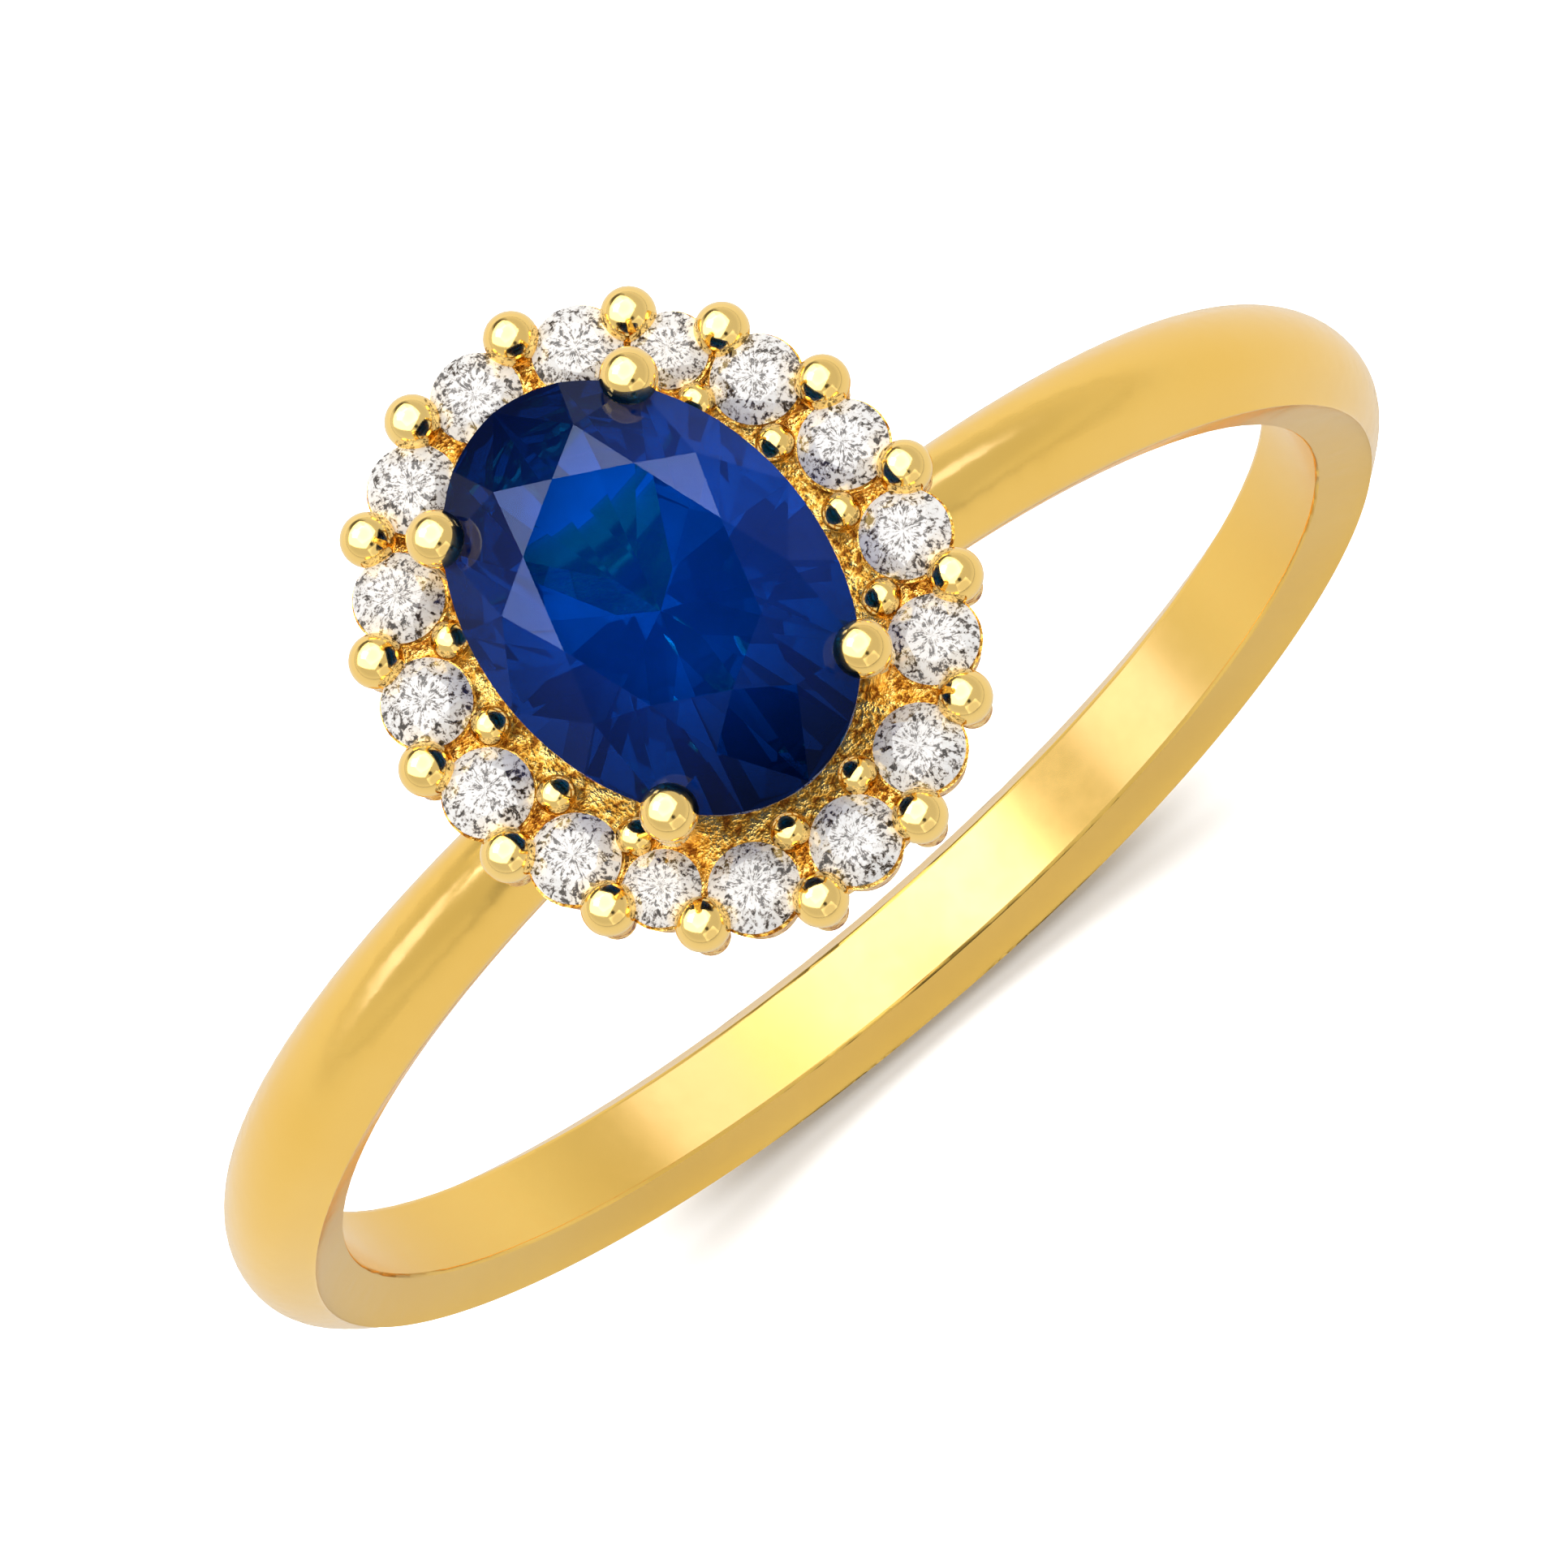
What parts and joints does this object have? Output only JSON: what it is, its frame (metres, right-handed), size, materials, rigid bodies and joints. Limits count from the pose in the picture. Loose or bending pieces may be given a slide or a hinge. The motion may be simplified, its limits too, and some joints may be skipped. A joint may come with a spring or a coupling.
{
  "type": "engagement ring",
  "caption": "Yellow gold ring with a D-section band, carrying an oval blue sapphire held by claws above an oval halo of small round diamonds in shared ball prongs.",
  "frame": {"origin": "centre of the finger bore, in the mid-plane of the band", "axes": "+Y along the finger axis and the head's long axis, +Z from the bore centre up through the head, +X across the top of the finger"},
  "size_m": [0.021, 0.0098, 0.0259],
  "materials": {
    "gold": "polished 18 carat yellow gold",
    "sapphire": "polished, faceted, deep royal blue",
    "diamond": "polished, faceted, colourless"
  },
  "bodies": {
    "root": {"claw_back_left": "gold", "claw_back_right": "gold", "claw_front_left": "gold", "claw_front_right": "gold", "diamond_01": "diamond", "diamond_02": "diamond", "diamond_03": "diamond", "diamond_04": "diamond", "diamond_05": "diamond", "diamond_06": "diamond", "diamond_07": "diamond", "diamond_08": "diamond", "diamond_09": "diamond", "diamond_10": "diamond", "diamond_11": "diamond", "diamond_12": "diamond", "diamond_13": "diamond", "diamond_14": "diamond", "diamond_15": "diamond", "diamond_16": "diamond", "gallery_rail": "gold", "halo_frame": "gold", "halo_strut_back": "gold", "halo_strut_front": "gold", "halo_strut_left": "gold", "halo_strut_right": "gold", "inner_prong_02": "gold", "inner_prong_03": "gold", "inner_prong_04": "gold", "inner_prong_05": "gold", "inner_prong_07": "gold", "inner_prong_08": "gold", "inner_prong_10": "gold", "inner_prong_11": "gold", "inner_prong_12": "gold", "inner_prong_13": "gold", "inner_prong_15": "gold", "inner_prong_16": "gold", "outer_prong_01": "gold", "outer_prong_02": "gold", "outer_prong_03": "gold", "outer_prong_04": "gold", "outer_prong_05": "gold", "outer_prong_06": "gold", "outer_prong_07": "gold", "outer_prong_08": "gold", "outer_prong_09": "gold", "outer_prong_10": "gold", "outer_prong_11": "gold", "outer_prong_12": "gold", "outer_prong_13": "gold", "outer_prong_14": "gold", "outer_prong_15": "gold", "outer_prong_16": "gold", "sapphire": "sapphire", "shank": "gold"}
  },
  "joints": []
}
